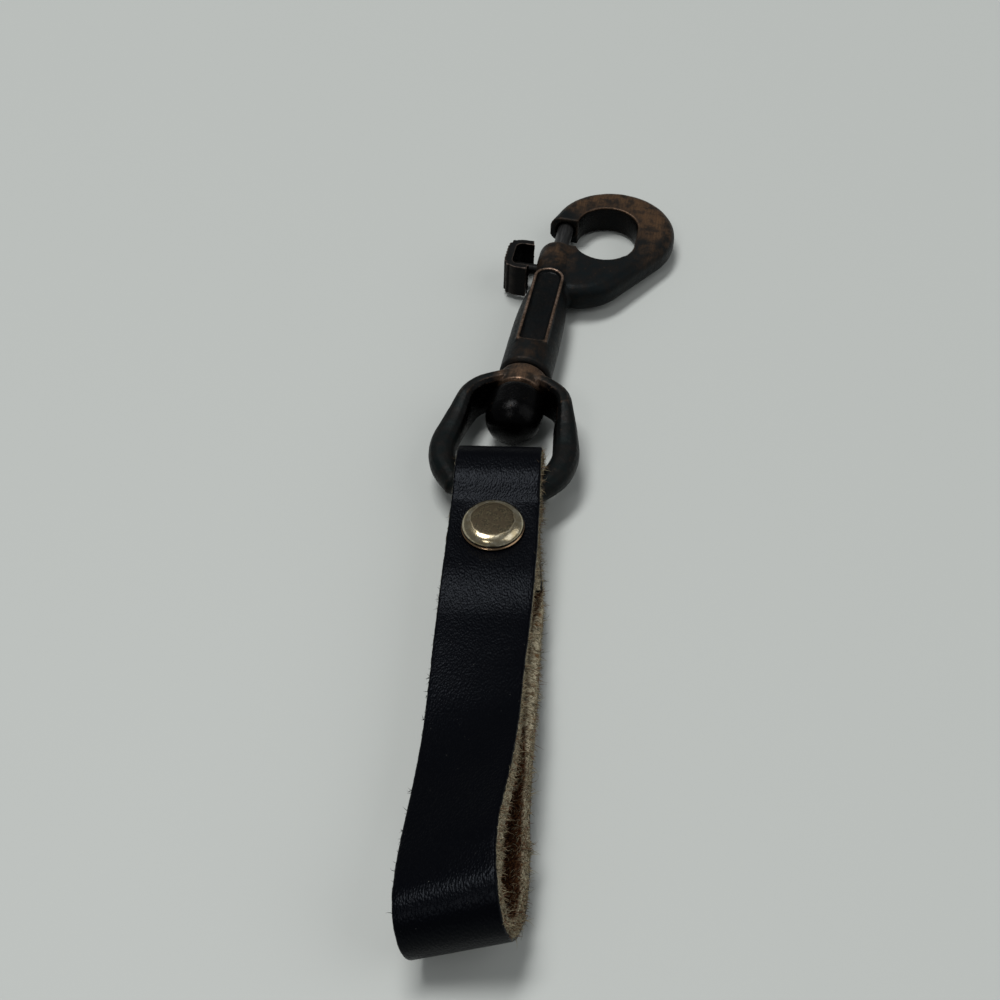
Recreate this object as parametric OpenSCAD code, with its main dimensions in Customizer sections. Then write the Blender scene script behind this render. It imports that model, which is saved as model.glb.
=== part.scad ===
// Bolt snap with a swivel eye, riveted into a short leather loop.
// It lies as it was laid down: the snap along +Y, the loop towards -Y, the table below.
// The origin is the centre of the hook's opening, in the middle plane of the hook.

/* [Hook] */
// Thickness of the hook, through its flat faces
hook_t = 5; // [4:0.1:6]
// Width of the hook's opening
opening_w = 10.7; // [9:0.1:13]
// Length of the hook's opening, along the snap
opening_l = 15.1; // [13.5:0.1:18]
// Metal between the opening and the far end of the hook
crown_band = 6; // [4.5:0.1:8]
// Metal between the opening and the side of the hook away from the bolt
side_band = 6.6; // [5:0.1:8]
// Radius of the web that runs from the hook into the barrel
web_r = 9.5; // [8:0.1:11]
// Rounding of the hook's outer edge
hook_round = 1.9; // [1:0.1:2.4]
// Gap that the bolt closes, from the barrel's muzzle to the nose
gate = 7.2; // [6:0.1:8.5]

/* [Barrel] */
// Distance from the bolt's axis to the middle of the opening
bolt_offset = 7.6; // [7.2:0.1:9]
// Radius of the barrel round the bolt
barrel_r = 3.3; // [2.9:0.05:3.8]
// Radius of the shank at the swivel end
shank_r = 4.3; // [4:0.05:4.8]
// Distance from the opening's middle to the face that bears on the eye
shank_l = 38.6; // [36:0.1:43]
// Distance from that face to the foot of the panel
panel_from = 5.3; // [3:0.1:6]
// Length of the bare panel let into the shank's top
panel_l = 19.6; // [14:0.1:21]
// Width of the panel over its raised rim
panel_w = 5.2; // [4:0.1:6]
// Width of the raised rim round the panel
panel_rim = 0.55; // [0.4:0.05:1]
// Height of the rim above the panel's floor
panel_deep = 0.65; // [0.3:0.05:1]
// Height of the rim's top above the shank's axis
panel_top = 3.95; // [3.7:0.05:4.4]

/* [Bolt] */
// Radius of the sliding bolt
bolt_r = 1.4; // [1.1:0.05:1.7]
// How far the bolt's tip goes into the nose
bolt_seat = 1.5; // [1:0.1:2]
// How far the thumb knob draws the bolt back
bolt_travel = 8.8; // [7:0.1:9]
// Radius of the knob's stem
stem_r = 0.95; // [0.8:0.05:1.1]
// Length of the thumb pad along the barrel
pad_l = 8; // [6:0.1:9]
// Height of the thumb pad across the barrel
pad_h = 6.2; // [5:0.1:7]
// How far the thumb pad stands out from the barrel
pad_out = 5; // [4:0.1:7]
// Gap between the thumb pad's open side and the barrel
pad_gap = 1; // [0.9:0.05:1.4]
// Thickness of the thumb pad's curved wall
pad_wall = 1.15; // [0.9:0.05:1.5]
// Number of grip ridges on the thumb pad
pad_ridges = 9; // [5:1:12]
// Wire of the bolt's spring
spring_wire = 0.36; // [0.3:0.02:0.45]
// Turns of the bolt's spring
spring_turns = 9; // [7:1:11]

/* [Swivel] */
// Radius of the swivel's stem inside the eye's collar
pivot_r = 2.4; // [2:0.05:2.8]
// Radial clearance of the stem in the collar
pivot_gap = 0.08; // [0.05:0.01:0.1]
// Radius of the round head formed on the stem's end
head_r = 4.5; // [3.6:0.05:4.55]
// Length of the head along the stem
head_l = 8.4; // [7:0.1:9]
// Length of the eye's collar along the stem
collar_l = 4.7; // [4:0.1:6]
// Radius of the eye's collar
collar_r = 4.2; // [3.8:0.05:4.5]
// Thickness of the eye's bar and limbs
eye_bar_d = 4.2; // [3.6:0.1:4.6]
// Wall of the hood where the eye's limbs run into the collar
hood_wall = 2.8; // [2.4:0.1:4]
// Width inside the eye
eye_w = 14.9; // [14.4:0.1:18]
// Distance from the collar's outer face to the middle of the eye's bar
eye_l = 24.7; // [24:0.1:29]

/* [Strap] */
// Width of the leather strap
strap_w = 12.7; // [11:0.1:13]
// Thickness of the leather
leather_t = 2.4; // [2:0.1:2.6]
// Distance from the eye's bar to the far end of the loop
loop_l = 74.7; // [60:0.1:110]
// Distance from the eye's bar to the rivet
rivet_at = 11; // [10.5:0.1:13]
// Space inside the loop at its far end
loop_gap = 5.4; // [4.5:0.1:7]
// Space for the eye's bar inside the small loop
bar_space = 5.5; // [5.3:0.1:6]
// Twist of the loop from the rivet to its far end, in degrees
loop_twist = 24; // [0:1:30]
// Sideways swing of the strap from the snap's line, in degrees
strap_yaw = 7.3; // [0:0.1:9]
// How far the strap has slid along the eye's bar
strap_side = 0.7; // [0:0.1:0.9]

/* [Rivet] */
// Radius of the rivet's caps
cap_r = 4.6; // [4:0.05:5]
// Height of the upper cap
cap_h = 1.9; // [1.6:0.1:2.4]
// Height of the lower cap
base_h = 1.3; // [1:0.1:1.4]
// Thickness of the pressed caps
cap_wall = 0.3; // [0.25:0.05:0.4]
// Radius of the hollow post
post_r = 1.2; // [1:0.05:1.4]

/* [Lie] */
// Height of the opening's middle above the table
lie_h = 2.95; // [2.9:0.05:4]
// Dip of the snap from the eye down to the hook, in degrees
lie_tilt = 1.8; // [1.5:0.1:3]
// Roll of the casting about its barrel, in degrees
lie_roll = 1.2; // [0:0.1:3]
// Roll of the eye against the table, in degrees
eye_roll = -2; // [-4:0.5:0]

/* [Hidden] */
$fn = 48;
eps = 0.01;
seat = 0.02;          // play between pieces that are pressed or set on each other
slide_gap = 0.06;     // radial play of the bolt in its bore
cut = 30;             // longer than anything that it cuts

// Hook: places along the snap, measured from the middle of the opening
crown_r = (opening_w / 2 + side_band + bolt_offset + 2.2) / 2;
crown_x = opening_w / 2 + side_band - crown_r;
crown_y = opening_l / 2 + crown_band - crown_r;
web_x = crown_x - 0.47 * crown_r;
web_y = crown_y - 0.97 * crown_r;
nose_y = 0.16 * opening_l;
muzzle_y = nose_y - gate;
socket_r = bolt_r + 0.4;
socket_deep = bolt_seat + 0.7;

// Bolt and its bore
tip_y = nose_y + bolt_seat;
knob_y = muzzle_y - 0.65 * pad_l;
tail_y = knob_y - 2.5 * stem_r;
bore_r = bolt_r + slide_gap;
spring_shut = (spring_turns + 9) * spring_wire;
bore_end_y = tail_y - bolt_travel - spring_shut;
slot_half = stem_r + 0.3;

// Swivel
shoulder_gap = 0.15;
collar_y = -shank_l - shoulder_gap;
head_y = collar_y - collar_l - shoulder_gap;
eye_r = eye_bar_d / 2;
arc_r = eye_w / 2 + eye_r;
bar_half = strap_w / 2;
arc_y = -eye_l + 0.79 * arc_r;
limb_lean = 10.8;
limb_top_y = 0.32 * eye_l;
hood_reach = 0.34 * arc_r;
hood_slope = 25;

// Strap
layer = leather_t + 0.05;
bar_mid = bar_space / 2 + leather_t / 2;
fold_mid = loop_gap / 2 + leather_t / 2;
near_fold_u = -0.75 * eye_r;
far_fold_u = loop_l - fold_mid - leather_t / 2;
pinch_from = rivet_at - 4.8;
pinch_to = rivet_at + 5;
tab_end = rivet_at + 8;
under_end = rivet_at - 4.2;
hole_r = post_r + cap_wall + 0.12;

// The table and the eye's bar, in the part's own frame
table_z = -lie_h;
bar_in_snap = [-bolt_offset, collar_y - eye_l, 0];
bar_at = snap_point(bar_in_snap);
rise_end = fold_mid * cos(-eye_roll + loop_twist) + leather_t / 2
         + strap_w / 2 * sin(-eye_roll + loop_twist) + table_z - bar_at[2];

function turn_y(p, a) = [p[0] * cos(a) + p[2] * sin(a), p[1], -p[0] * sin(a) + p[2] * cos(a)];
function turn_x(p, a) = [p[0], p[1] * cos(a) - p[2] * sin(a), p[1] * sin(a) + p[2] * cos(a)];
function snap_point(p) = turn_x(turn_y(p, lie_roll), -lie_tilt);
function mix(a, b, k) = a + (b - a) * k;
function ease(k) = k * k * (3 - 2 * k);
function bezier(a, b, c, d, steps) = [for (i = [1 : steps]) let (k = i / steps, j = 1 - k)
    a * j * j * j + b * 3 * j * j * k + c * 3 * j * k * k + d * k * k * k];
function arc(mid, r, a0, a1, steps) =
    [for (i = [1 : steps]) let (a = mix(a0, a1, i / steps)) mid + r * [cos(a), sin(a)]];
function flip(points) = [for (p = points) [p[0], -p[1]]];
function back(points) = [for (i = [len(points) - 1 : -1 : 0]) points[i]];

// The snap's own frame, set down on the table
module lying() rotate([-lie_tilt, 0, 0]) rotate([0, lie_roll, 0]) children();

// A round bar or bore whose axis lies along the snap
module along(y0, y1, r) translate([0, y0, 0]) rotate([-90, 0, 0]) cylinder(h = y1 - y0, r = r);

// A disc with a rounded rim, the section of the hook
module puck(x, y, r) translate([x, y, 0]) rotate_extrude($fn = 64) {
    square_w = r - hook_round;
    translate([0, -hook_t / 2]) square([square_w, hook_t]);
    translate([0, -hook_t / 2 + hook_round]) square([r, hook_t - 2 * hook_round]);
    for (side = [-1, 1]) intersection() {
        translate([square_w, side * (hook_t / 2 - hook_round)]) circle(r = hook_round, $fn = 32);
        translate([0, -hook_t]) square([r + 1, 2 * hook_t]);
    }
}

// The oval opening
module opening(h) {
    straight = (opening_l - opening_w) / 2;
    for (y = [-straight, straight]) translate([0, y, -h / 2]) cylinder(h = h, d = opening_w, $fn = 64);
    translate([-opening_w / 2, -straight, -h / 2]) cube([opening_w, 2 * straight, h]);
}

// The crown of the hook and the web that joins it to the barrel
module hook_plate() difference() {
    intersection() {
        hull() {
            puck(crown_x, crown_y, crown_r);
            puck(web_x, web_y, web_r);
        }
        union() {
            translate([-bolt_offset, -cut, -cut]) cube([2 * cut, 2 * cut, 2 * cut]);
            translate([-bolt_offset - cut, nose_y, -cut]) cube([2 * cut, 2 * cut, 2 * cut]);
        }
    }
    opening(2 * hook_t);
    translate([-bolt_offset - cut, muzzle_y, -cut]) cube([cut + bolt_offset - opening_w / 2 + 1, gate, 2 * cut]);
}

// Barrel and shank in one turned outline, radius against distance along the snap
module barrel() rotate([-90, 0, 0]) rotate_extrude() polygon(concat(
    [[0, -shank_l], [shank_r - 0.5, -shank_l], [shank_r, -shank_l + 0.5]],
    bezier([shank_r, -shank_l + 0.5], [shank_r, knob_y - 16], [shank_r, knob_y - 11],
           [barrel_r, knob_y - 7], 8),
    [[barrel_r, muzzle_y - 1.2]],
    arc([barrel_r - 1.1, muzzle_y - 1.1], 1.1, 5, 90, 6),
    [[0, muzzle_y]]));

// The outline of the panel, a round head and a square foot
module panel_shape(inset) {
    r = panel_w / 2 - inset;
    head = -shank_l + panel_from + panel_l - panel_w / 2;
    foot = -shank_l + panel_from + inset;
    translate([0, head]) circle(r = r);
    translate([-r, foot]) square([2 * r, head - foot]);
}

// The head that keeps the stem in the eye's collar, a belt with a domed end
module stem_head() rotate([-90, 0, 0]) rotate_extrude() {
    dome_y = head_y - head_l / 2;
    polygon(concat(
        [[0, head_y], [head_r - 0.9, head_y]],
        bezier([head_r - 0.9, head_y], [head_r - 0.3, head_y], [head_r, head_y - 0.6], [head_r, head_y - 1.5], 5),
        bezier([head_r, dome_y], [head_r, mix(dome_y, head_y - head_l, 0.6)],
               [0.6 * head_r, head_y - head_l], [0, head_y - head_l], 10)));
}

// One casting: hook, web, barrel, shank, and the stem with its head inside the eye
module hook_body() color([0.24, 0.17, 0.14]) lying() difference() {
    union() {
        hook_plate();
        translate([-bolt_offset, 0, 0]) {
            difference() {
                barrel();
                translate([0, 0, panel_top]) linear_extrude(cut) panel_shape(0);
            }
            intersection() {
                linear_extrude(panel_top) panel_shape(0);
                along(-shank_l, muzzle_y, shank_r + 0.4);
            }
            along(head_y - head_l / 2, -shank_l + 1, pivot_r);
            stem_head();
        }
    }
    translate([-bolt_offset, 0, 0]) {
        translate([0, 0, panel_top - panel_deep]) linear_extrude(cut) panel_shape(panel_rim);
        along(bore_end_y, muzzle_y + 1, bore_r);
        along(nose_y - 1, nose_y + socket_deep, socket_r);
        translate([-cut, knob_y - bolt_travel - slot_half, -slot_half])
            cube([cut, bolt_travel + 2 * slot_half, 2 * slot_half]);
    }
}

// The sliding bolt, with a round tip and a cross hole for the knob's stem
module bolt() color([0.27, 0.22, 0.2]) lying() translate([-bolt_offset, 0, 0]) difference() {
    rotate([-90, 0, 0]) rotate_extrude() polygon(concat(
        [[0, tail_y], [bolt_r, tail_y]],
        [[bolt_r, tip_y - 0.6]],
        arc([bolt_r - 0.6, tip_y - 0.6], 0.6, 5, 90, 6),
        [[0, tip_y]]));
    translate([-bolt_r - 1, knob_y, 0]) rotate([0, 90, 0]) cylinder(h = bolt_r + 1.7, r = stem_r + seat);
}

// A ridge across the thumb pad
module ridge(x, y) translate([x, y, -pad_h / 2]) cylinder(h = pad_h, r = 0.38, $fn = 16);

// The thumb pad is a curved channel, open towards the barrel, on a stem that goes through the slot
module thumb_knob() color([0.2, 0.16, 0.15]) lying() translate([-bolt_offset, knob_y, 0]) {
    outer_x = -barrel_r - pad_out;
    open_x = -barrel_r - pad_gap;
    corner = 2.3;
    translate([outer_x + pad_wall / 2, 0, 0]) rotate([0, 90, 0])
        cylinder(h = -outer_x - pad_wall / 2 + 0.6, r = stem_r);
    difference() {
        union() {
            for (side = [-1, 1]) translate([outer_x + corner, side * (pad_l / 2 - corner), -pad_h / 2])
                cylinder(h = pad_h, r = corner);
            translate([outer_x, -pad_l / 2 + corner, -pad_h / 2])
                cube([corner, pad_l - 2 * corner, pad_h]);
            translate([outer_x + corner, -pad_l / 2, -pad_h / 2])
                cube([open_x - outer_x - corner, pad_l, pad_h]);
        }
        translate([outer_x + corner, -pad_l / 2 + pad_wall, -pad_h])
            cube([pad_out, pad_l - 2 * pad_wall, 2 * pad_h]);
        for (side = [-1, 1]) translate([outer_x + corner, side * (pad_l / 2 - corner), -pad_h])
            cylinder(h = 2 * pad_h, r = corner - pad_wall);
        translate([outer_x + pad_wall, -pad_l / 2 + corner, -pad_h])
            cube([corner, pad_l - 2 * corner, 2 * pad_h]);
    }
    pitch = (pad_l - 2 * corner + 3) / (pad_ridges - 1);
    for (i = [0 : pad_ridges - 1]) {
        y = (i - (pad_ridges - 1) / 2) * pitch;
        bend = max(0, abs(y) - pad_l / 2 + corner);
        ridge(outer_x + corner - sqrt(corner * corner - bend * bend) + 0.1, y);
    }
}

// The coil behind the bolt, a round wire swept along a helix
module bolt_spring() color("silver") lying() translate([-bolt_offset, 0, 0]) {
    sides = 6;
    steps = 14;
    coil_r = bore_r - spring_wire / 2 - 0.12;
    y0 = bore_end_y + spring_wire / 2 + seat;
    y1 = tail_y - spring_wire / 2 - seat;
    rings = spring_turns * steps;
    points = [for (i = [0 : rings]) let (a = 360 * i / steps, y = mix(y0, y1, i / rings))
        for (j = [0 : sides - 1]) let (b = 360 * j / sides, r = coil_r + spring_wire / 2 * cos(b))
            [r * cos(a), y + spring_wire / 2 * sin(b), r * sin(a)]];
    walls = [for (i = [0 : rings - 1]) for (j = [0 : sides - 1])
        let (k = (j + 1) % sides, a = i * sides, b = a + sides) [a + j, b + j, b + k, a + k]];
    polyhedron(points, concat(walls, [[for (j = [0 : sides - 1]) j],
                                      [for (j = [sides - 1 : -1 : 0]) rings * sides + j]]));
}

// Middle line of the eye's right half: along the bar, round the corner, up the limb, into the collar
bar_end = [bar_half, -eye_l];
arc_mid = [0, arc_y];
arc_start = atan2(bar_end[1] - arc_y, bar_half) + acos(arc_r / norm(bar_end - arc_mid));
limb_foot = arc_mid + arc_r * [cos(limb_lean), sin(limb_lean)];
limb_up = [-sin(limb_lean), cos(limb_lean)];
limb_top = limb_foot + (-limb_top_y - limb_foot[1]) / cos(limb_lean) * limb_up;
collar_in = [collar_r / 2, -collar_l / 2];
eye_side = concat([bar_end], arc(arc_mid, arc_r, arc_start - 6, limb_lean, 9),
                  [mix(limb_foot, limb_top, 0.5), limb_top],
                  bezier(limb_top, limb_top + hood_reach * limb_up,
                         collar_in + hood_reach * [cos(hood_slope), -sin(hood_slope)], collar_in, 8));
eye_line = concat([for (p = back(eye_side)) [-p[0], p[1]]], eye_side);

// The limbs are square in section with round corners. Towards the collar they get thin and tall,
// a hood round the stem's head.
function swell(y) = ease(max(0, min(1, (y + limb_top_y + 6) / 6.5)));
function squared(y) = 0.5 * ease(max(0, min(1, (y + eye_l - eye_r) / eye_r))) + 0.35 * swell(y);

module eye_ring() {
    sides = 16;
    last = len(eye_line) - 1;
    rings = [for (i = [0 : last]) let (
        before = unit(eye_line[max(1, i)] - eye_line[max(0, i - 1)]),
        after = unit(eye_line[min(last, i + 1)] - eye_line[min(last - 1, i)]),
        ahead = unit(before + after),
        out = [ahead[1], -ahead[0]],
        on_bar = abs(eye_line[i][0]) <= bar_half + eps && eye_line[i][1] < -eye_l + eps,
        k = swell(eye_line[i][1]),
        wide = on_bar ? eye_r - 0.1 : mix(eye_r, hood_wall / 2, k) / (ahead * after),
        high = on_bar ? eye_r - 0.1 : mix(eye_r, collar_r - 0.5, k),
        square_k = squared(eye_line[i][1]))
        for (j = [0 : sides - 1]) let (
            c = cos(360 * j / sides), s = sin(360 * j / sides),
            full = mix(1, pow(pow(abs(c), 4) + pow(abs(s), 4), -0.25), square_k),
            q = eye_line[i] + wide * full * c * out)
            [q[0], q[1], high * full * s]];
    walls = [for (i = [0 : last - 1]) for (j = [0 : sides - 1])
        let (k = (j + 1) % sides, a = sides * i, b = a + sides)
            each [[a + j, b + k, b + j], [a + j, a + k, b + k]]];
    polyhedron(rings, concat(walls, [[for (j = [sides - 1 : -1 : 0]) j],
                                     [for (j = [0 : sides - 1]) sides * last + j]]));
}

// The swivel eye: a bell-shaped ring with a thick collar, bored for the stem
module swivel_eye() color([0.2, 0.2, 0.2]) lying() translate([-bolt_offset, collar_y, 0])
    rotate([0, eye_roll - lie_roll, 0]) difference() {
        union() {
            eye_ring();
            translate([-bar_half + 0.3, -eye_l, 0]) rotate([0, 90, 0])
                cylinder(h = 2 * bar_half - 0.6, r = eye_r);
            rotate([-90, 0, 0]) rotate_extrude() polygon([
                [0, -collar_l], [collar_r - 0.5, -collar_l], [collar_r, -collar_l + 0.5],
                [collar_r - 0.1, -0.6], [collar_r - 0.6, 0], [0, 0]]);
        }
        along(-collar_l - 1, 1, pivot_r + pivot_gap);
    }

// Middle line of the leather in the strap's own upright plane: distance from the bar, height
strap_line = concat(
    [[tab_end, 0], [rivet_at + 4, 0], [rivet_at, 0]],
    bezier([pinch_from, 0], [pinch_from - 2.3, 0], [4.1, -bar_mid], [0.8, -bar_mid], 8),
    arc([near_fold_u, 0], bar_mid, -90, -270, 12),
    bezier([0, bar_mid], [2.6, bar_mid], [4.4, layer], [pinch_from, layer], 5),
    [[rivet_at, layer]],
    bezier([pinch_to, layer], [mix(pinch_to, far_fold_u, 0.3), layer],
           [mix(pinch_to, far_fold_u, 0.6), fold_mid], [far_fold_u, fold_mid], 9),
    arc([far_fold_u, 0], fold_mid, 90, -90, 12),
    back(flip(bezier([pinch_to, layer], [mix(pinch_to, far_fold_u, 0.3), layer],
                     [mix(pinch_to, far_fold_u, 0.6), fold_mid], [far_fold_u, fold_mid], 9))),
    [[pinch_to, -layer], [rivet_at, -layer], [under_end, -layer]]);

// The strap's frame, twisted more and lifted more towards the far end of the loop
function loop_part(u) = max(0, min(1, (u - pinch_to) / (loop_l - pinch_to)));
function strap_roll(u) = -eye_roll + loop_twist * loop_part(u);
function strap_point(u, across, v) = let (a = strap_roll(u),
    side = across * cos(a) - v * sin(a),
    up = across * sin(a) + v * cos(a) + rise_end * loop_part(u))
    bar_at + [strap_side + u * sin(strap_yaw) + side * cos(strap_yaw),
              -u * cos(strap_yaw) + side * sin(strap_yaw), up];
function unit(v) = v / norm(v);

module strap_solid() {
    last = len(strap_line) - 1;
    ring = [for (i = [0 : last]) let (
        along_line = unit(strap_line[min(last, i + 1)] - strap_line[max(0, i - 1)]),
        out = [-along_line[1], along_line[0]] * leather_t / 2)
        for (q = [[-1, -1], [1, -1], [1, 1], [-1, 1]])
            strap_point(strap_line[i][0] + q[1] * out[0], q[0] * strap_w / 2,
                        strap_line[i][1] + q[1] * out[1])];
    walls = [for (i = [0 : last - 1]) for (j = [0 : 3])
        let (k = (j + 1) % 4, a = 4 * i, b = a + 4) each [[a + j, b + j, b + k], [a + j, b + k, a + k]]];
    polyhedron(ring, concat(walls, [[0, 1, 2, 3], [4 * last + 3, 4 * last + 2, 4 * last + 1, 4 * last]]));
}

// Sets its children on the strap's middle at the rivet, upright to the leather
module at_rivet() translate(strap_point(rivet_at, 0, 0)) rotate([0, 0, strap_yaw])
    rotate([0, -strap_roll(rivet_at), 0]) children();

module leather_strap() color([0.07, 0.07, 0.08]) difference() {
    strap_solid();
    at_rivet() cylinder(h = 4 * leather_t, r = hole_r, center = true);
}

stack = layer + leather_t / 2;

// A pressed cap: flat in the middle, round at the shoulder, rolled in at the rim
module cap_shell(h) rotate_extrude() difference() {
    polygon(concat([[0, 0], [cap_r - 0.2, 0], [cap_r, 0.25]],
        bezier([cap_r, 0.25], [cap_r - 0.1, h * 0.7], [cap_r * 0.8, h * 0.95], [cap_r * 0.55, h], 8),
        [[0, h]]));
    polygon(concat([[0, -eps], [cap_r - 0.9, -eps], [cap_r - cap_wall, 0.4]],
        bezier([cap_r - cap_wall, 0.4], [cap_r - 0.1 - cap_wall, h * 0.6],
               [cap_r * 0.75, h * 0.95 - cap_wall], [cap_r * 0.5, h - cap_wall], 8),
        [[0, h - cap_wall]]));
}

// The flange and tube that a cap is rolled over
module tube(h, r, wall, flange_r) rotate_extrude()
    polygon([[r - wall, -h], [r, -h], [r, 0], [flange_r, 0], [flange_r, wall], [r - wall, wall]]);

module rivet_cap() color([0.6, 0.56, 0.46]) at_rivet() translate([0, 0, stack + seat]) cap_shell(cap_h);

module rivet_socket() color("silver") at_rivet() translate([0, 0, stack + seat])
    tube(2 * stack - 1.5, post_r + cap_wall, cap_wall - seat, cap_r - 1.1);

module rivet_base() color([0.6, 0.56, 0.46]) at_rivet() mirror([0, 0, 1])
    translate([0, 0, stack + seat]) cap_shell(base_h);

module rivet_post() color("silver") at_rivet() mirror([0, 0, 1]) translate([0, 0, stack + seat])
    tube(2 * stack - 0.4, post_r, cap_wall, cap_r - 1.1);

hook_body();
bolt();
thumb_knob();
bolt_spring();
swivel_eye();
leather_strap();
rivet_cap();
rivet_socket();
rivet_base();
rivet_post();
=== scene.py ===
import math
import random

import bpy
import numpy as np
from mathutils import Matrix, Vector, noise


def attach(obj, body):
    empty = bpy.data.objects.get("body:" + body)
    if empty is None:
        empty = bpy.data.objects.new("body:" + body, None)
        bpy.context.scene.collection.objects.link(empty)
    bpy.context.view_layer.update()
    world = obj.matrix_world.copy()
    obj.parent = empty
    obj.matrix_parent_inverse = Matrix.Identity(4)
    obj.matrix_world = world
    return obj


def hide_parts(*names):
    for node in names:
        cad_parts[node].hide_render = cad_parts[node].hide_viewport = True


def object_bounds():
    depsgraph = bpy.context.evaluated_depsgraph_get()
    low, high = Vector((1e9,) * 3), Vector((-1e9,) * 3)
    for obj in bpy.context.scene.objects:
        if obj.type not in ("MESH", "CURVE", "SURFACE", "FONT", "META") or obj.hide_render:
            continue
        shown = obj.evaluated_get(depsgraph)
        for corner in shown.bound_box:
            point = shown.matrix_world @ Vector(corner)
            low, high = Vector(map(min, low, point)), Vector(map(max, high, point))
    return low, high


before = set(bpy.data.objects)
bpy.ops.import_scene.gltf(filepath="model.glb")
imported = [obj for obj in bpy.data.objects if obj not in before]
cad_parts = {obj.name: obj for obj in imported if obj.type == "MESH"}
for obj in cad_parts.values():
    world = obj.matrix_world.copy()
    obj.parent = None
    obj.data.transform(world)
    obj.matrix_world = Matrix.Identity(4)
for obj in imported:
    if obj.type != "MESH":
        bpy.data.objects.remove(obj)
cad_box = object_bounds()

# Camera: it looks down at the snap from the loop's end, 48 degrees below the level, as the photo
# does. The frame is square, with a lens of 54 mm on a 36 mm sensor.
camera_at = Vector((0.02257, -0.21281, 0.16853))
looks_at = Vector((-0.00715, -0.06129, -0.00295))


def add(name, data):
    """A new object of the scene."""
    made = bpy.data.objects.new(name, data)
    bpy.context.scene.collection.objects.link(made)
    return made


camera = add("camera", bpy.data.cameras.new("camera"))
camera.data.lens, camera.data.sensor_width, camera.data.clip_start = 54, 36, 0.01
camera.location = camera_at
camera.rotation_euler = (looks_at - camera_at).to_track_quat("-Z", "Y").to_euler()
bpy.context.scene.camera = camera
bpy.context.scene.view_settings.view_transform = "Standard"

# Table and light: a plain pale table in a dim room, under a long soft ceiling light, with a pale
# wall on the right and a small lamp behind the camera. Flat faces mirror the dim room and stay black.
table_half, table_gap = 3, 0.00003
lit_spot = Vector((0, -0.06, 0))


def material(name):
    """A new material, its node tree and its shader."""
    made = bpy.data.materials.new(name)
    made.use_nodes = True
    return made, made.node_tree, made.node_tree.nodes["Principled BSDF"]


table_z = cad_box[0].z - table_gap
table_mesh = bpy.data.meshes.new("table_top")
table_mesh.from_pydata([(x * table_half, y * table_half, table_z)
                        for x, y in ((-1, -1), (1, -1), (1, 1), (-1, 1))], [], [(0, 1, 2, 3)])
table_top = add("table_top", table_mesh)
paint, _, shader = material("table_paint")
shader.inputs["Base Color"].default_value = (0.455, 0.475, 0.455, 1)
shader.inputs["Roughness"].default_value = 0.6
table_mesh.materials.append(paint)

for name, place, length, width, power in (("ceiling_light", (-0.84, 0.51, 3.18), 1.8, 0.78, 84),
                                          ("pale_wall", (2.7, -0.18, 2.25), 3.0, 3.0, 31),
                                          ("small_lamp", (-0.9, -2.6, 3.0), 0.8, 0.8, 15)):
    lamp = add(name, bpy.data.lights.new(name, "AREA"))
    lamp.data.shape, lamp.data.energy = "RECTANGLE", power
    lamp.data.size, lamp.data.size_y = length, width
    lamp.location = place
    lamp.rotation_euler = (lit_spot - Vector(place)).to_track_quat("-Z", "Y").to_euler()
room = bpy.data.worlds.new("room")
bpy.context.scene.world = room
room.use_nodes = True
room_light = room.node_tree.nodes["Background"]
room_light.inputs["Color"].default_value = (0.93, 0.97, 1.0, 1)
room_light.inputs["Strength"].default_value = 0.17

# Hook, barrel and shank: one die casting in zinc with an antique copper finish, dark with patina in
# its hollows, with painted shade on the inner wall of the hook's opening and on the stem head under
# the eye, and rubbed to brown copper on the crown, the muzzle and the raised rims. A casting has no
# sharp corners, so the solid is recut in fine cells and smoothed.
MM = 0.001
# The second black is patina sunk in hollows and, inside and under the parts, painted shade.
tarnish_black, hollow_and_shade_black = (0.0065, 0.006, 0.0055, 1), (0.0006, 0.0006, 0.0007, 1)
brown_rub, bright_rub = (0.08, 0.05, 0.03, 1), (0.34, 0.26, 0.22, 1)


def shader_group(name, inputs, outputs):
    """An empty node group with these sockets: (name, socket type, value)."""
    group = bpy.data.node_groups.new(name, "ShaderNodeTree")
    for label, kind, value in inputs:
        socket = group.interface.new_socket(label, in_out="INPUT", socket_type=kind)
        socket.default_value = value
    for label, kind in outputs:
        group.interface.new_socket(label, in_out="OUTPUT", socket_type=kind)
    return group, group.nodes.new("NodeGroupInput"), group.nodes.new("NodeGroupOutput")


def node(tree, kind, links=(), **values):
    """A new node: its settings and input values by name, then what feeds it."""
    made = tree.nodes.new(kind)
    for key, value in values.items():
        if hasattr(made, key) and key not in made.inputs:
            setattr(made, key, value)
        else:
            made.inputs[key.replace("_", " ")].default_value = value
    for socket, source in links:
        tree.links.new(source, made.inputs[socket])
    return made


def feed(tree, socket, value):
    """Links another socket to this one, or sets it to a number or colour."""
    if isinstance(value, bpy.types.NodeSocket):
        tree.links.new(value, socket)
    else:
        socket.default_value = value


def blend_colours(tree, mask, first, second):
    """The Result socket of a mix of two colours or sockets by a mask socket."""
    mixer = tree.nodes.new("ShaderNodeMix")
    mixer.data_type = "RGBA"
    for number, value in ((0, mask), (6, first), (7, second)):
        feed(tree, mixer.inputs[number], value)
    return mixer.outputs[2]


def maths(tree, operation, first, second=0.0, third=0.0, clamp=False):
    """The result socket of a Math node on sockets or numbers."""
    made = tree.nodes.new("ShaderNodeMath")
    made.operation, made.use_clamp = operation, clamp
    for socket, value in zip(made.inputs, (first, second, third)):
        feed(tree, socket, value)
    return made.outputs[0]


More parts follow.
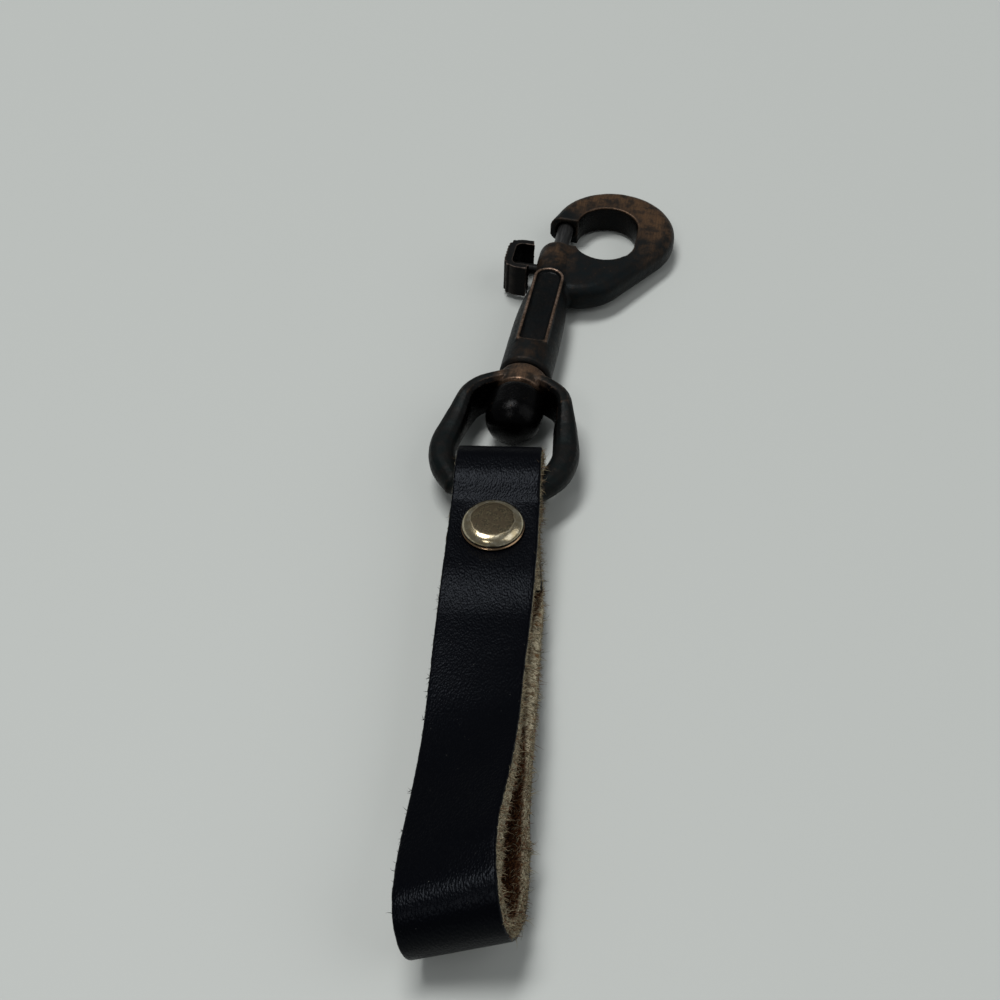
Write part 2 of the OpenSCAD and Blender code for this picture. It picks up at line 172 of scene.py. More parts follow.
def span(tree, value, low, high, to_low=0.0, to_high=1.0):
    """A socket's range low to high, mapped smoothly to another range."""
    made = node(tree, "ShaderNodeMapRange", [("Value", value)], interpolation_type="SMOOTHSTEP")
    ends = {"From Min": low, "From Max": high, "To Min": to_low, "To Max": to_high}
    for label, number in ends.items():
        made.inputs[label].default_value = number
    return made.outputs[0]


def mottling(tree, place, scale, detail, roughness=0.5):
    """The Fac socket of a noise texture at a place."""
    return node(tree, "ShaderNodeTexNoise", [("Vector", place)], Scale=scale, Detail=detail,
                Roughness=roughness).outputs["Fac"]


def drawn_out(tree, place, scale, turn=0.0):
    """A place scaled by its own amount on each axis, for grain that runs one way."""
    made = node(tree, "ShaderNodeMapping", [("Vector", place)])
    made.inputs["Rotation"].default_value = (0, 0, turn)
    made.inputs["Scale"].default_value = scale
    return made.outputs[0]


def carried(tree, name, output="Fac"):
    """The socket of a value that the mesh carries at each point."""
    return node(tree, "ShaderNodeAttribute", attribute_name=name).outputs[output]


patina, group_in, group_out = shader_group(
    "worn_patina",
    [("Wear", "NodeSocketFloat", 0.0), ("Rub", "NodeSocketFloat", 0.0), ("Hollow_And_Shade", "NodeSocketFloat", 0.0),
     ("Patina", "NodeSocketColor", (0.02, 0.02, 0.02, 1)),
     ("Copper", "NodeSocketColor", (0.3, 0.15, 0.09, 1)), ("Pitting", "NodeSocketFloat", 0.2)],
    [("Color", "NodeSocketColor"), ("Metallic", "NodeSocketFloat"), ("Roughness", "NodeSocketFloat"),
     ("Normal", "NodeSocketVector")])
given = group_in.outputs
place = node(patina, "ShaderNodeTexCoord").outputs["Object"]
cloud = mottling(patina, place, 560, 5, 0.6)
fine = mottling(patina, place, 2600, 4, 0.65)
scratch = mottling(patina, drawn_out(patina, place, (4200, 500, 2000), 0.5), 1, 3)
edge = maths(patina, "MULTIPLY", given["Wear"], span(patina, fine, 0.3, 0.62, 0.25, 1.15))
rubbed = maths(patina, "MULTIPLY", given["Rub"], span(patina, cloud, 0.36, 0.64, 0.2, 1.0))
rubbed = maths(patina, "MULTIPLY", rubbed, span(patina, scratch, 0.3, 0.66, 0.55, 1.1))
nicks = maths(patina, "MULTIPLY", span(patina, fine, 0.62, 0.72, 0.0, 0.5),
              span(patina, cloud, 0.5, 0.66))
bare = maths(patina, "ADD", maths(patina, "ADD", edge, rubbed), nicks, clamp=True)
dark = blend_colours(patina, span(patina, cloud, 0.32, 0.68), given["Patina"], tarnish_black)
# Towards near-black: patina in the hollows, and painted shade inside and under the parts.
dark = blend_colours(patina, given["Hollow_And_Shade"], dark, hollow_and_shade_black)
copper = blend_colours(patina, fine, given["Copper"], brown_rub)
copper = blend_colours(patina, maths(patina, "MULTIPLY", edge, 0.6, clamp=True), copper, bright_rub)
patina.links.new(blend_colours(patina, bare, dark, copper), group_out.inputs["Color"])
patina.links.new(span(patina, bare, 0.0, 1.0, 0.35, 0.95), group_out.inputs["Metallic"])
satin = maths(patina, "ADD", span(patina, bare, 0.0, 1.0, 0.47, 0.36),
              span(patina, fine, 0.3, 0.7, -0.07, 0.1))
satin = maths(patina, "MULTIPLY_ADD", given["Hollow_And_Shade"], -0.2, satin)
patina.links.new(satin, group_out.inputs["Roughness"])
height = maths(patina, "ADD", maths(patina, "MULTIPLY", cloud, 1.6), fine)
dents = node(patina, "ShaderNodeBump", [("Height", height), ("Strength", given["Pitting"])],
             Distance=0.0001)
patina.links.new(dents.outputs[0], group_out.inputs["Normal"])


def cast_metal(name, patina_colour, copper_colour, pitting):
    """The casting's finish. The piece carries how far each point is worn, rubbed and darkened, by patina
    sunk in its hollows and by painted shade.
    """
    made, tree, shader = material(name)
    finish = tree.nodes.new("ShaderNodeGroup")
    finish.node_tree = patina
    finish.inputs["Patina"].default_value = patina_colour
    finish.inputs["Copper"].default_value = copper_colour
    finish.inputs["Pitting"].default_value = pitting
    for label in ("Wear", "Rub", "Hollow_And_Shade"):
        tree.links.new(carried(tree, label.lower()), finish.inputs[label])
    for label, socket in (("Color", "Base Color"), ("Metallic", "Metallic"), ("Roughness", "Roughness"),
                          ("Normal", "Normal")):
        tree.links.new(finish.outputs[label], shader.inputs[socket])
    shader.inputs["Specular IOR Level"].default_value = 0.1
    return made


def per_point(mesh, what):
    """An array of each point's place, co, or of its normal."""
    values = np.empty(len(mesh.vertices) * 3)
    mesh.vertices.foreach_get(what, values)
    return values.reshape(-1, 3)


def edge_ends(mesh):
    """The first and second point of every edge, and how many edges meet at each point."""
    ends = np.empty(len(mesh.edges) * 2, dtype=np.int64)
    mesh.edges.foreach_get("vertices", ends)
    return ends[::2], ends[1::2], np.bincount(ends, minlength=len(mesh.vertices))


def neighbour_mean(mesh):
    """A function that averages an array of point values over each point's neighbours."""
    a, b, meeting = edge_ends(mesh)

    def mean(values):
        return (np.bincount(a, values[b], len(meeting)) + np.bincount(b, values[a], len(meeting))) / meeting
    return mean


def edge_wear(mesh, points, normals, spread, low, high):
    """How far each point stands out on an edge, and how far it lies in a hollow, both 0 to 1."""
    a, b, meeting = edge_ends(mesh)
    mean = neighbour_mean(mesh)
    between = points[b] - points[a]
    bulge = (np.bincount(a, -(between * normals[a]).sum(1), len(meeting))
             + np.bincount(b, (between * normals[b]).sum(1), len(meeting))) / meeting
    for _ in range(spread):
        bulge = 0.5 * bulge + 0.5 * mean(bulge)
    return np.clip((bulge - low) / (high - low), 0, 1), np.clip((-bulge - low) / (high - low), 0, 1)


def casting(name, cad_node, cell, rounds, uneven, fillet_below=None):
    """A node's solid as a casting: recut in cells of this many mm, smoothed, faintly uneven. Below
    the given height, its inner corners are filled out to a round as a mould's are."""
    fillet_rounds, fillet_spread, fillet_from, fillet_full = 70, 14, 0.0008, 0.004
    broad, tight, tight_share = 0.55, 1.9, 0.4
    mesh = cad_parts[cad_node].data.copy()
    mesh.transform(Matrix.Scale(1 / MM, 4))
    piece = add(name, mesh)
    recut = piece.modifiers.new("recut", "REMESH")
    recut.mode, recut.voxel_size = "VOXEL", cell
    soft = piece.modifiers.new("soft", "SMOOTH")
    soft.factor, soft.iterations = 0.5, rounds
    mesh = bpy.data.meshes.new_from_object(piece.evaluated_get(bpy.context.evaluated_depsgraph_get()))
    piece.modifiers.clear()
    piece.data = mesh
    points, normals = per_point(mesh, "co"), per_point(mesh, "normal")
    if fillet_below is not None:
        _, hollow = edge_wear(mesh, points, normals, fillet_spread, fillet_from, fillet_full)
        share = hollow * (points[:, 2] < fillet_below)
        mean = neighbour_mean(mesh)
        for _ in range(fillet_rounds):
            around_it = np.stack([mean(points[:, axis]) for axis in range(3)], 1)
            points = points + 0.5 * share[:, None] * (around_it - points)
        mesh.vertices.foreach_set("co", points.ravel())
        mesh.update()
        normals = per_point(mesh, "normal")
    lumps = np.array([noise.noise(Vector(p) * broad) + tight_share * noise.noise(Vector(p) * tight)
                      for p in points])
    points += normals * (lumps * uneven)[:, None]
    mesh.vertices.foreach_set("co", (points * MM).ravel())
    mesh.update()
    mesh.shade_smooth()
    mesh.materials.clear()
    return piece, points, normals


def point_values(mesh, name, values):
    """Stores one number a point on the mesh, for its material."""
    stored = mesh.attributes.new(name, "FLOAT", "POINT")
    stored.data.foreach_set("value", np.asarray(values, dtype=np.float32))


def worn(piece, wear, rub, hollow_and_shade):
    """Stores how far each point of a casting is worn, rubbed and darkened by patina in hollows and by
    painted shade, for its finish.
    """
    for name, values in (("wear", wear), ("rub", rub), ("hollow_and_shade", hollow_and_shade)):
        point_values(piece.data, name, np.clip(values, 0, 1))


def bump_at(values, middle, half):
    """1 at the middle, falling smoothly to 0 at half a width from it."""
    return np.clip(1 - ((values - middle) / half) ** 2, 0, 1)


snap_casting, at, facing = casting("snap_casting", "hook_body", 0.2, 5, 0.025, fillet_below=3)
wear, hollow = edge_wear(snap_casting.data, at, facing, 3, 0.006, 0.022)
x, y = at[:, 0], at[:, 1]
ring = np.hypot(x, y * 0.72)          # the hook's opening is longer than it is wide
up, broadly_up = np.clip(facing[:, 2], 0, 1), np.clip(facing[:, 2] * 1.5, 0, 1)
crown = bump_at(ring, 8.6, 3.6) * np.clip((y + x * 0.9 + 3) / 7, 0, 1) * broadly_up
crown *= np.clip(0.45 + y / 9, 0.3, 1)
muzzle = bump_at(y, -8.5, 4.4) * bump_at(x, -7.8, 4.2) * broadly_up
foot = bump_at(y, -36, 4) * bump_at(x, -7.4, 3) * up
panel = bump_at(y, -22.5, 14) * bump_at(x, -7.5, 3.6) * up
scuff = bump_at(x, 11.2, 2.2) * bump_at(y, -9, 4) * broadly_up
# Painted shade: the stem head under the eye's hood and the inner wall of the hook's opening go to
# near-black.
stem_head_shade = np.clip((-43.5 - y) / 0.5, 0, 1)
hole_wall_shade = np.clip(-(x * facing[:, 0] + y * facing[:, 1]) / ring - 0.5, 0, 0.4) * 2 * (ring < 7)
worn(snap_casting, wear * np.clip(0.1 + 0.9 * crown + 0.5 * muzzle + 1.5 * panel, 0, 1),
     0.7 * crown + 0.35 * muzzle + 0.12 * foot + 0.9 * scuff,
     hollow * 0.8 + stem_head_shade + hole_wall_shade + 0.55 * panel * (wear < 0.1))
snap_casting.data.materials.append(
    cast_metal("antique_copper", (0.003, 0.0054, 0.0064, 1), (0.25, 0.135, 0.066, 1), 0.4))
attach(snap_casting, "snap")
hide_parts("hook_body")

# Swivel eye: a bell-shaped ring of the same casting, turning on the snap's stem. Its collar and the
# inner rim of its arch are rubbed to bright copper, the limbs are dark slate. Its inner wall under
# the hood is darkened to near-black as painted shade.
eye_casting, at, facing = casting("eye_casting", "swivel_eye", 0.17, 5, 0.03)
wear, hollow = edge_wear(eye_casting.data, at, facing, 2, 0.006, 0.02)
x, y = at[:, 0], at[:, 1]
eye_x, eye_y = -7.6, -55              # the middle of the eye's opening
collar = bump_at(y, -41.2, 3.4) * bump_at(x, eye_x, 4.6) * np.clip(facing[:, 2] * 1.6, 0, 1)
arch = np.clip((y + 49) / 5, 0, 1)
inward = ((eye_x - x) * facing[:, 0] + (eye_y - y) * facing[:, 1]) / np.hypot(x - eye_x, y - eye_y)
# Painted shade: the eye's inner wall under its hood, facing the opening, goes to near-black.
under_hood_shade = np.clip(inward * 2 - 0.4, 0, 1) * np.clip((y - eye_y) / 4, 0, 1)
worn(eye_casting, wear * (0.15 + arch), 0.7 * collar, hollow * 0.8 + under_hood_shade)
eye_casting.data.materials.append(
    cast_metal("slate_casting", (0.003, 0.0054, 0.0056, 1), (0.3, 0.18, 0.11, 1), 0.45))
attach(eye_casting, "eye")
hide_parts("swivel_eye")

# Thumb knob: a curved channel with fine ridges, cast with the stem that goes through the slot. Its
# outer wall is worn pale by the thumb. The inside of the channel is darkened as painted shade.
knob_casting, at, facing = casting("knob_casting", "thumb_knob", 0.1, 3, 0.012)
wear, hollow = edge_wear(knob_casting.data, at, facing, 2, 0.004, 0.016)
# Painted shade: the knob's faces inside the channel that don't face up go darker.
channel_shade = (at[:, 0] > -15.1) * (facing[:, 2] < 0.5)
worn(knob_casting, wear * 0.8, 0.2 * np.clip(-facing[:, 0], 0, 1), hollow + channel_shade * 0.7)
knob_casting.data.materials.append(
    cast_metal("knob_patina", (0.004, 0.0042, 0.0042, 1), (0.24, 0.19, 0.16, 1), 0.35))
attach(knob_casting, "plunger")
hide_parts("thumb_knob")

# Bolt and spring: the bolt is a plain dark rod, the spring behind it bright wire. Both are the
# model's own solids.
bolt_dull, bolt_pale = (0.022, 0.023, 0.025, 1), (0.07, 0.068, 0.066, 1)
wire_dull, wire_pale = (0.3, 0.3, 0.31, 1), (0.55, 0.55, 0.56, 1)


def dress(cad_node, finish):
    """Gives a node's own solid this material."""
    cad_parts[cad_node].data.materials.clear()
    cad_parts[cad_node].data.materials.append(finish)


for cad_node, name, dull, pale in (("bolt", "bolt_steel", bolt_dull, bolt_pale),
                                   ("bolt_spring", "spring_wire", wire_dull, wire_pale)):
    steel, tree, shader = material(name)
    place = node(tree, "ShaderNodeTexCoord").outputs["Object"]
    streaks = mottling(tree, drawn_out(tree, place, (3000, 300, 3000)), 1, 4)
    tree.links.new(blend_colours(tree, streaks, dull, pale), shader.inputs["Base Color"])
    tree.links.new(span(tree, streaks, 0.3, 0.7, 0.3, 0.5), shader.inputs["Roughness"])
    shader.inputs["Metallic"].default_value = 0.8
    dress(cad_node, steel)

# Leather strap: one length of black grain leather 12.7 mm wide and 2.4 mm thick, folded round the
# eye's bar, riveted, and looped back under itself in a slight S that twists towards its far fold.
# Its edges are cut raw and its back is brown suede.
strap_w, leather_t = 12.7, 2.4
rivet_at, loop_l, loop_gap, bar_space = 11, 75.2, 7.3, 5.5
bar_at = np.array((-7.5983, -63.4137, 2.1521))
layer = leather_t + 0.05              # the layers lie this far apart, middle to middle
bar_mid, fold_mid = bar_space / 2 + leather_t / 2, loop_gap / 2 + leather_t / 2
near_fold, far_fold = -1.575, loop_l - fold_mid - leather_t / 2
pinch_from, pinch_to, tab_end, under_end = rivet_at - 4.8, rivet_at + 5, rivet_at + 8, rivet_at - 4.2
strap_yaw, eye_roll, strap_side, sag = math.radians(7.3), -2, 0.7, 0.9
far_twist, fold_untwist = 22, 9       # degrees
under_slip, far_lift, fold_lift = 1.35, 2.2, 0.5
fold_skew, fold_splay, s_bend, end_bend = 0.55, 0.13, 0.24, 0.22


def bezier(a, b, c, d, steps):
    """Points on a curve from a to d, without its first."""
    k = np.linspace(0, 1, steps + 1)[1:, None]
    a, b, c, d = map(np.array, (a, b, c, d))
    return a * (1 - k) ** 3 + 3 * b * k * (1 - k) ** 2 + 3 * c * k * k * (1 - k) + d * k ** 3


def fold(middle, radius, first, last, steps):
    """Points on an arc between two angles in degrees, without its first."""
    a = np.radians(np.linspace(first, last, steps + 1)[1:])
    return np.array(middle) + radius * np.stack((np.cos(a), np.sin(a)), 1)


def ease(values, low, high):
    """0 up to low, 1 from high on, and smooth between them."""
    k = np.clip((values - low) / (high - low), 0, 1)
    return k * k * (3 - 2 * k)


along = np.linspace(pinch_to, far_fold, 90)
upper = np.stack((along, layer - sag * ease(along, tab_end - 1, tab_end + 8)
                  + (fold_mid - layer + sag) * ease(along, 40, far_fold + 0.5)), 1)
strap_line = np.concatenate((
    [(tab_end, 0), (rivet_at + 4, 0), (rivet_at, 0), (pinch_from, 0)],
    bezier((pinch_from, 0), (pinch_from - 2.3, 0), (4.1, -bar_mid), (0.8, -bar_mid), 24),
    fold((near_fold, 0), bar_mid, -90, -270, 40),
    bezier((0, bar_mid), (2.6, bar_mid), (4.4, layer), (pinch_from, layer), 20),
    [(rivet_at, layer), (pinch_to, layer)], upper,
    fold((far_fold, 0), fold_mid, 90, -90, 40),
    upper[::-1][1:] * (1, -1),
    [(pinch_to, -layer), (rivet_at, -layer), (under_end, -layer)]))
walked = np.concatenate(([0], np.cumsum(np.linalg.norm(np.diff(strap_line, axis=0), axis=1))))
stations = np.linspace(0, walked[-1], 620)
line = np.stack([np.interp(stations, walked, strap_line[:, i]) for i in (0, 1)], 1)
for _ in range(3):
    line[1:-1] = 0.25 * line[:-2] + 0.5 * line[1:-1] + 0.25 * line[2:]
heading = np.gradient(line, axis=0)
heading /= np.linalg.norm(heading, axis=1)[:, None]
outward = np.stack((-heading[:, 1], heading[:, 0]), 1)


def strap_points(u, across, v):
    """From the strap's own upright plane to the object's frame, in mm."""
    part = np.clip((u - pinch_to) / (loop_l - pinch_to), 0, 1)
    roll = np.radians(-eye_roll + far_twist * ease(u, 20.4, 69.7) - fold_untwist * ease(u, 60, 75))
    across = across + under_slip * ease(-v, 0.1, 1.2) * ease(u, 8, 24) * (1 - ease(u, 36, 60))
    side = across * np.cos(roll) - v * np.sin(roll)
    rise = (across * np.sin(roll) + v * np.cos(roll) + far_lift * ease(u, 10, 69.7)
            + fold_lift * ease(u, 66, 75))
    u = u - ease(u, 52, 74) * (fold_skew + fold_splay * across)
    sway = (strap_side - s_bend * np.sin(2 * math.pi * part) - end_bend * part ** 3
            + u * math.sin(strap_yaw))
    return np.stack((bar_at[0] + sway + side * math.cos(strap_yaw),
                     bar_at[1] - u * math.cos(strap_yaw) + side * math.sin(strap_yaw),
                     bar_at[2] + rise), -1)


half_w, half_t, bevel = strap_w / 2, leather_t / 2, 0.32
grain_side, rounded_edge, cut_side, flesh_side = 0, 0.5, 1, 2
rounding = [(half_w - bevel + bevel * math.cos(c), half_t - bevel + bevel * math.sin(c))
            for c in np.radians(np.linspace(90, 0, 5))]
section = [(a, half_t, grain_side) for a in np.linspace(-half_w + bevel, half_w - bevel, 26)]
section += [(a, o, rounded_edge) for a, o in rounding[1:]]
section += [(half_w, o, cut_side) for o in np.linspace(half_t - bevel, -half_t, 10)[1:]]
section += [(a, -half_t, flesh_side) for a in np.linspace(half_w, -half_w, 27)[1:]]
section += [(-half_w, o, cut_side) for o in np.linspace(-half_t, half_t - bevel, 10)[1:]]
section += [(-a, o, rounded_edge) for a, o in rounding[::-1][1:-1]]
around = len(section)
shape = (len(stations), around)
across, out, kind = (np.broadcast_to(np.array(column, dtype=float), shape).copy()
                     for column in zip(*section))
reach = np.broadcast_to(stations[:, None], shape)
line_u, line_v = line[:, None, 0], line[:, None, 1]


def ripple(scale, a, b, c):
    """Smooth noise over arrays, about minus one to one."""
    flat = np.stack([np.ravel(values) for values in np.broadcast_arrays(a, b, c)], 1) * scale
    return np.array([noise.noise(Vector(p)) for p in flat]).reshape(shape)


rough = ripple(1.3, reach, out * 1.5, across * 0.3) + 0.7 * ripple(3.1, reach, out * 1.4, across * 0.3)
cut_edge = np.where(kind == cut_side, 1.0, np.where(kind == rounded_edge, 0.25, 0))
across += np.sign(across) * cut_edge * (rough * 0.16 - 0.04)
across *= 1 + 0.035 * bump_at(line_u, 17, 19)              # pressed wider by the rivet
out += np.where(kind == flesh_side, 0.1 * rough, 0)
from_rivet = np.hypot(line_u - rivet_at, across)
pressed = np.exp(-(from_rivet / 5.2) ** 6) * (line_v > 0.5 * layer)
out += np.where(kind < cut_side, 0.03 * ripple(0.22, reach, across, out) - 0.22 * pressed, 0)
strap_mm = strap_points(line_u + out * outward[:, None, 0], across, line_v + out * outward[:, None, 1])


def smooth_mesh(name, points, faces):
    """A smooth-shaded mesh of points in metres and faces."""
    made = bpy.data.meshes.new(name)
    made.from_pydata(points, [], faces)
    made.update()
    made.shade_smooth()
    return made


verts = strap_mm.reshape(-1, 3) * MM
i, j = np.meshgrid(np.arange(len(stations) - 1), np.arange(around), indexing="ij")
a, b = (i * around + j).ravel(), (i * around + (j + 1) % around).ravel()
faces = np.stack((a, a + around, b + around, b), 1).tolist()
faces += [list(range(around)), list(range(len(verts) - 1, len(verts) - 1 - around, -1))]
strap_mesh = smooth_mesh("strap", verts.tolist(), faces)
point_values(strap_mesh, "raw_edge", (kind == cut_side).ravel())
point_values(strap_mesh, "suede", (kind == flesh_side).ravel())
strap_mesh.attributes.new("strap_place", "FLOAT_VECTOR", "POINT").data.foreach_set(
    "vector", np.stack((across, reach, out), -1).astype(np.float32).ravel())
leather_strap = add("riveted_strap", strap_mesh)

leather, tree, shader = material("black_leather")
place = carried(tree, "strap_place", "Vector")
raw, suede = carried(tree, "raw_edge"), carried(tree, "suede")
slant = drawn_out(tree, place, (4.4, 2.7, 1), 0.6)
pebbles = node(tree, "ShaderNodeTexVoronoi", [("Vector", slant)], feature="SMOOTH_F1", Scale=1.0,
               Smoothness=0.6).outputs["Distance"]
pores = mottling(tree, place, 5.5, 3)
patches = mottling(tree, place, 0.22, 3)
fibres = mottling(tree, place, 3.6, 6, 0.7)
tufts = mottling(tree, place, 1.1, 4, 0.6)
dust = mottling(tree, place, 3.2, 2)
grain_colour = blend_colours(tree, patches, (0.0004, 0.0006, 0.0014, 1), (0.0008, 0.0009, 0.0016, 1))
grain_colour = blend_colours(tree, span(tree, dust, 0.75, 0.79), grain_colour, (0.06, 0.06, 0.055, 1))
edge_colour = blend_colours(tree, span(tree, fibres, 0.38, 0.6), (0.07, 0.055, 0.03, 1),
                            (0.38, 0.34, 0.24, 1))
edge_colour = blend_colours(tree, span(tree, tufts, 0.52, 0.7), edge_colour, (0.12, 0.06, 0.022, 1))
suede_colour = blend_colours(tree, span(tree, fibres, 0.4, 0.7), (0.014, 0.004, 0.002, 1),
                             (0.11, 0.048, 0.018, 1))
inner = blend_colours(tree, suede, edge_colour, suede_colour)
not_grain = maths(tree, "ADD", raw, suede, clamp=True)
tree.links.new(blend_colours(tree, span(tree, not_grain, 0.45, 0.6), grain_colour, inner),
               shader.inputs["Base Color"])
tree.links.new(span(tree, not_grain, 0.3, 0.8, 0.32, 0.95), shader.inputs["Roughness"])
grain_height = maths(tree, "ADD", maths(tree, "MULTIPLY", pebbles, -0.9),
                     maths(tree, "MULTIPLY", pores, 0.35))
raw_height = maths(tree, "MULTIPLY", fibres, 3.0)
leather_height = blend_colours(tree, not_grain, grain_height, raw_height)
grain_bump = node(tree, "ShaderNodeBump", [("Height", leather_height)], Distance=0.0001, Strength=0.55)
tree.links.new(grain_bump.outputs[0], shader.inputs["Normal"])
shader.inputs["Specular IOR Level"].default_value = 0.06
shader.inputs["Specular Tint"].default_value = (0.8, 0.88, 1, 1)
strap_mesh.materials.append(leather)
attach(leather_strap, "loop")
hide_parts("leather_strap")

# Loose fibres: the cut edges and the suede shed short tufts of leather, tan and brown along the
# right edge and nearly black along the left. Each is a thin bent hair that tapers.
rng = random.Random(11)
fibre_count, right_share, suede_share = 9500, 0.86, 0.45
from_end = 8                          # stations at each end of the strap with no fibres
fibre_verts, fibre_faces, fibre_tint = [], [], []


def add_fibre(root, direction, length, radius, tint):
    """A bent tapering hair of four rings with three sides."""
    third_turn, taper, curl = 2.094, 0.3, 0.75
    direction = direction.normalized()
    bend = Vector((rng.uniform(-1, 1), rng.uniform(-1, 1), rng.uniform(-0.8, 0.6)))
    start = len(fibre_verts)
    spot = Vector(root)
    for ring_no in range(4):
        side = direction.orthogonal().normalized()
        other = direction.cross(side)
        thick = radius * (1 - taper * ring_no)
        for corner_no in range(3):
            turn = corner_no * third_turn
            fibre_verts.append((spot + thick * (side * math.cos(turn) + other * math.sin(turn))) * MM)
            fibre_tint.append(tint)
        spot = spot + direction * length / 3
        direction = (direction + curl * bend).normalized()
    for ring_no in range(3):
        for corner_no in range(3):
            p, q = start + 3 * ring_no + corner_no, start + 3 * ring_no + (corner_no + 1) % 3
            fibre_faces.append((p, q, q + 3, p + 3))
    fibre_faces.append((start + 2, start + 1, start))
    fibre_faces.append((start + 9, start + 10, start + 11))


yaw_side = Vector((math.cos(strap_yaw), math.sin(strap_yaw), 0))
last = len(stations) - from_end
left_tufts = [rng.randrange(from_end, last) for _ in range(46)]
right_tufts = [rng.randrange(from_end, last) for _ in range(190)]
for _ in range(fibre_count):
    right = rng.random() < right_share
    suede_hair = rng.random() < suede_share
    n = rng.randrange(from_end, last)
    if not suede_hair and rng.random() < (0.6 if right else 0.9):
        n = rng.choice(right_tufts if right else left_tufts) + round(rng.gauss(0, 1.2))
        n = min(max(n, from_end), last)
    o = -half_t + 0.02 if suede_hair else rng.uniform(-half_t, half_t - 0.35)
    side = (half_w - (abs(rng.gauss(0, 1.3)) if suede_hair else 0.12)) * (1 if right else -1)
    u, v = line[n] + o * outward[n]
    root = Vector(strap_points(np.array(u), np.array(side), np.array(v)))
    sideways = yaw_side * (1 if right else -1)
    inward = Vector((0, -outward[n][0], -outward[n][1]))
    loose = Vector((rng.uniform(-1, 1), rng.uniform(-1, 1), rng.uniform(-1, 1)))
    if suede_hair:
        add_fibre(root, inward * 0.8 + sideways * 0.6 + loose * 0.7, rng.uniform(0.4, 1.3), 0.05,
                  rng.uniform(0.35, 1))
    else:
        longest = 1.8 if right and rng.random() < 0.22 else 1.0
        shade = rng.uniform(0.1, 0.8) if right else rng.uniform(0, 0.12)
        add_fibre(root, sideways + loose * 0.9, rng.uniform(0.25, longest), 0.06 if right else 0.07, shade)
fibre_mesh = smooth_mesh("strap_fibres", fibre_verts, fibre_faces)
point_values(fibre_mesh, "tint", fibre_tint)
strap_fibres = add("strap_fibres", fibre_mesh)
hair, tree, shader = material("leather_fibre")
tint = carried(tree, "tint")
tan = blend_colours(tree, span(tree, tint, 0.05, 0.4), (0.012, 0.012, 0.01, 1), (0.27, 0.23, 0.14, 1))
tree.links.new(blend_colours(tree, span(tree, tint, 0.5, 0.75), tan, (0.1, 0.04, 0.014, 1)),
               shader.inputs["Base Color"])
shader.inputs["Roughness"].default_value = 0.9
fibre_mesh.materials.append(hair)
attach(strap_fibres, "loop")

# Rivet: two pressed and plated caps on a hollow post. The upper cap is tarnished olive brown in the
# middle and bright round its rim, with a thin bronze lip where it meets the leather.
stack = layer + leather_t / 2 + 0.02  # from the rivet's middle to the leather's outside
upper_rise, lower_rise, lip_rise = 1.9, 1.3, 0.38
cap_line = [(0, upper_rise), (1.2, 1.9), (2.2, 1.88), (2.9, 1.85), (3.15, 1.8), (3.35, 1.73), (3.7, 1.6),
            (4.05, 1.38), (4.3, 1.1), (4.46, 0.8), (4.5, 0.55), (4.45, 0.42), (4.4, 0.36), (4.44, 0.3),
            (4.56, 0.24), (4.6, 0.14), (4.55, 0.03), (4.3, 0.0), (3.6, 0.0)]


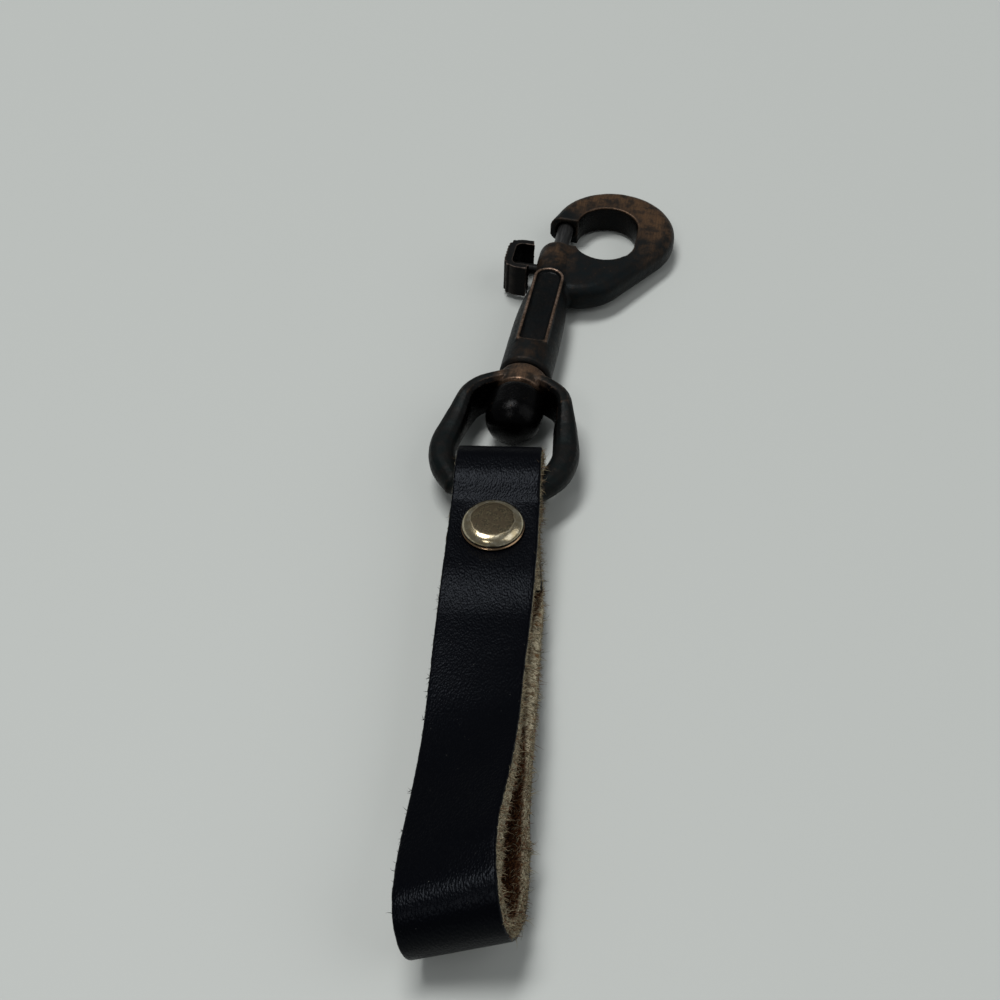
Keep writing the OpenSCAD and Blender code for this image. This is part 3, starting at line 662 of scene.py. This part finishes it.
def pressed_cap(name, profile, down):
    """A cap turned from its outline and set on the leather at the rivet."""
    segments, sign = 128, -1 if down else 1
    roll = math.radians(-eye_roll)
    yaw_cos, yaw_sin = math.cos(strap_yaw), math.sin(strap_yaw)
    axis_up = Vector((-math.sin(roll) * yaw_cos, -math.sin(roll) * yaw_sin, math.cos(roll)))
    along_x = Vector((math.cos(roll) * yaw_cos, math.cos(roll) * yaw_sin, math.sin(roll)))
    along_y = axis_up.cross(along_x)
    middle = Vector(strap_points(np.array(float(rivet_at)), np.array(0.0), np.array(0.0)))
    fine_line = []
    for (r0, z0), (r1, z1) in zip(profile, profile[1:]):
        fine_line += [(r0 + (r1 - r0) * k / 3, z0 + (z1 - z0) * k / 3) for k in range(3)]
    fine_line = np.array(fine_line + [profile[-1]])
    for _ in range(2):
        fine_line[1:-1] = 0.25 * fine_line[:-2] + 0.5 * fine_line[1:-1] + 0.25 * fine_line[2:]
    rings = [(r, z) for r, z in fine_line if r > 1e-6]
    verts = [(middle + axis_up * sign * (stack + profile[0][1])) * MM]
    for r, z in rings:
        for s in range(segments):
            a = 2 * math.pi * s / segments
            verts.append((middle + along_x * r * math.cos(a) + along_y * r * math.sin(a) * sign
                          + axis_up * sign * (stack + z)) * MM)
    faces = [(0, 1 + s, 1 + (s + 1) % segments) for s in range(segments)]
    for row in range(len(rings) - 1):
        for s in range(segments):
            p, q = 1 + row * segments + s, 1 + row * segments + (s + 1) % segments
            faces.append((p, p + segments, q + segments, q))
    mesh = smooth_mesh(name, verts, faces)
    on_rings = [(r, z) for r, z in rings for _ in range(segments)]
    point_values(mesh, "radius", [0.0] + [r for r, z in on_rings])
    point_values(mesh, "lip", [0.0] + [1.0 if z < lip_rise else 0.0 for r, z in on_rings])
    return add(name, mesh)


plate, tree, shader = material("tarnished_plate")
place = node(tree, "ShaderNodeTexCoord").outputs["Object"]
from_middle, lip = carried(tree, "radius"), carried(tree, "lip")
blotches = mottling(tree, place, 900, 5, 0.65)
specks = mottling(tree, place, 4200, 3)
ragged = maths(tree, "ADD", from_middle, maths(tree, "MULTIPLY", blotches, 0.9))
dull = span(tree, ragged, 3.45, 3.85, 1.0, 0.0)
tarnish = blend_colours(tree, span(tree, specks, 0.38, 0.62), (0.018, 0.014, 0.006, 1),
                        (0.058, 0.046, 0.024, 1))
tarnish = blend_colours(tree, span(tree, blotches, 0.42, 0.6), tarnish, (0.036, 0.026, 0.013, 1))
bright = blend_colours(tree, span(tree, blotches, 0.35, 0.6), (0.62, 0.56, 0.42, 1),
                       (0.42, 0.35, 0.22, 1))
colour = blend_colours(tree, dull, bright, tarnish)
tree.links.new(blend_colours(tree, lip, colour, (0.3, 0.2, 0.12, 1)), shader.inputs["Base Color"])
tree.links.new(span(tree, dull, 0.0, 1.0, 0.2, 0.5), shader.inputs["Roughness"])
tree.links.new(span(tree, dull, 0.0, 1.0, 1.0, 0.75), shader.inputs["Metallic"])
scuffs = node(tree, "ShaderNodeBump", [("Height", maths(tree, "ADD", blotches, specks))],
              Distance=0.00005, Strength=0.3)
tree.links.new(scuffs.outputs[0], shader.inputs["Normal"])
upper_cap = pressed_cap("upper_cap", cap_line, False)
lower_cap = pressed_cap("lower_cap", [(r, z * lower_rise / upper_rise) for r, z in cap_line], True)
for cap, cad_node in ((upper_cap, "rivet_cap"), (lower_cap, "rivet_base")):
    cap.data.materials.append(plate)
    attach(cap, "loop")
    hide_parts(cad_node)
for cad_node in ("rivet_socket", "rivet_post"):
    dress(cad_node, plate)
